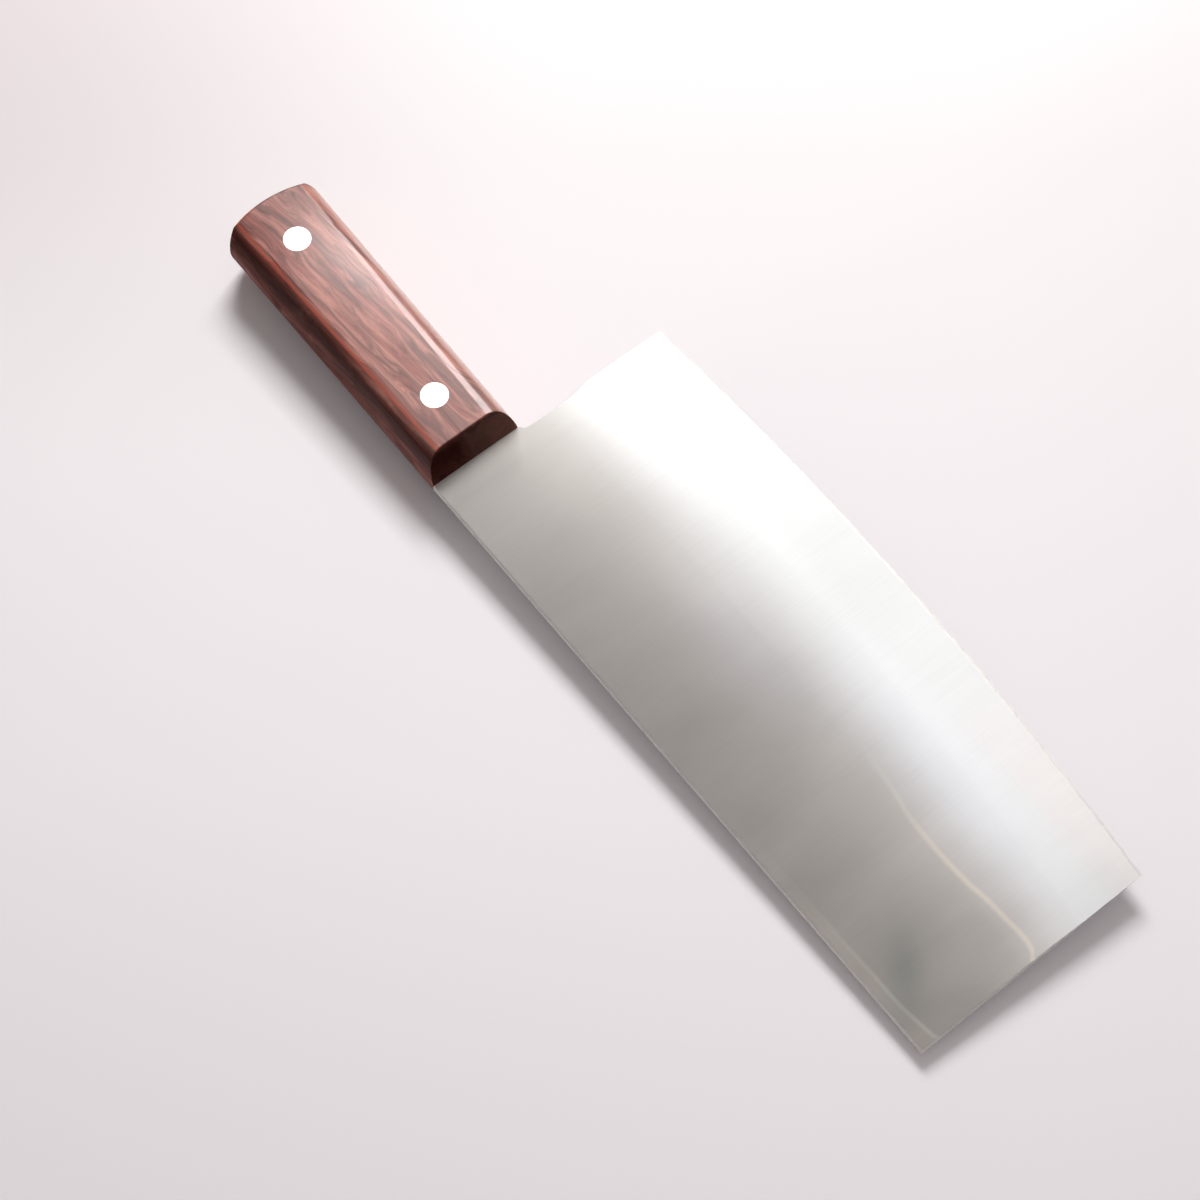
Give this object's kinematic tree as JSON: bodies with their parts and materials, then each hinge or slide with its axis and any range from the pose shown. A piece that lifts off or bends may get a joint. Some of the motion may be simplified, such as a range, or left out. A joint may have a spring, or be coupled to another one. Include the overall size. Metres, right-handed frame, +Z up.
{
  "type": "chinese cleaver",
  "caption": "Chinese vegetable cleaver: a wide, thin stainless blade with a shallow belly and square toe, its hidden tang riveted into a flat, flared hardwood handle.",
  "frame": {"origin": "centre of the underside of the box round the whole knife, level with the handle's lower flat", "axes": "+X from the butt to the toe, +Y from the spine to the cutting edge, +Z up, square to the blade's mid-plane"},
  "size_m": [0.3274, 0.0896, 0.021],
  "materials": {
    "stainless_steel": "satin, fine scratches across the blade from spine to edge",
    "hardwood": "reddish rosewood-like grain under clear gloss lacquer",
    "rivet_metal": "polished flush with the wood"
  },
  "bodies": {
    "root": {"blade": "stainless_steel", "handle": "hardwood", "front_rivet_stud": "rivet_metal", "front_rivet_cap": "rivet_metal", "rear_rivet_stud": "rivet_metal", "rear_rivet_cap": "rivet_metal"}
  },
  "joints": []
}
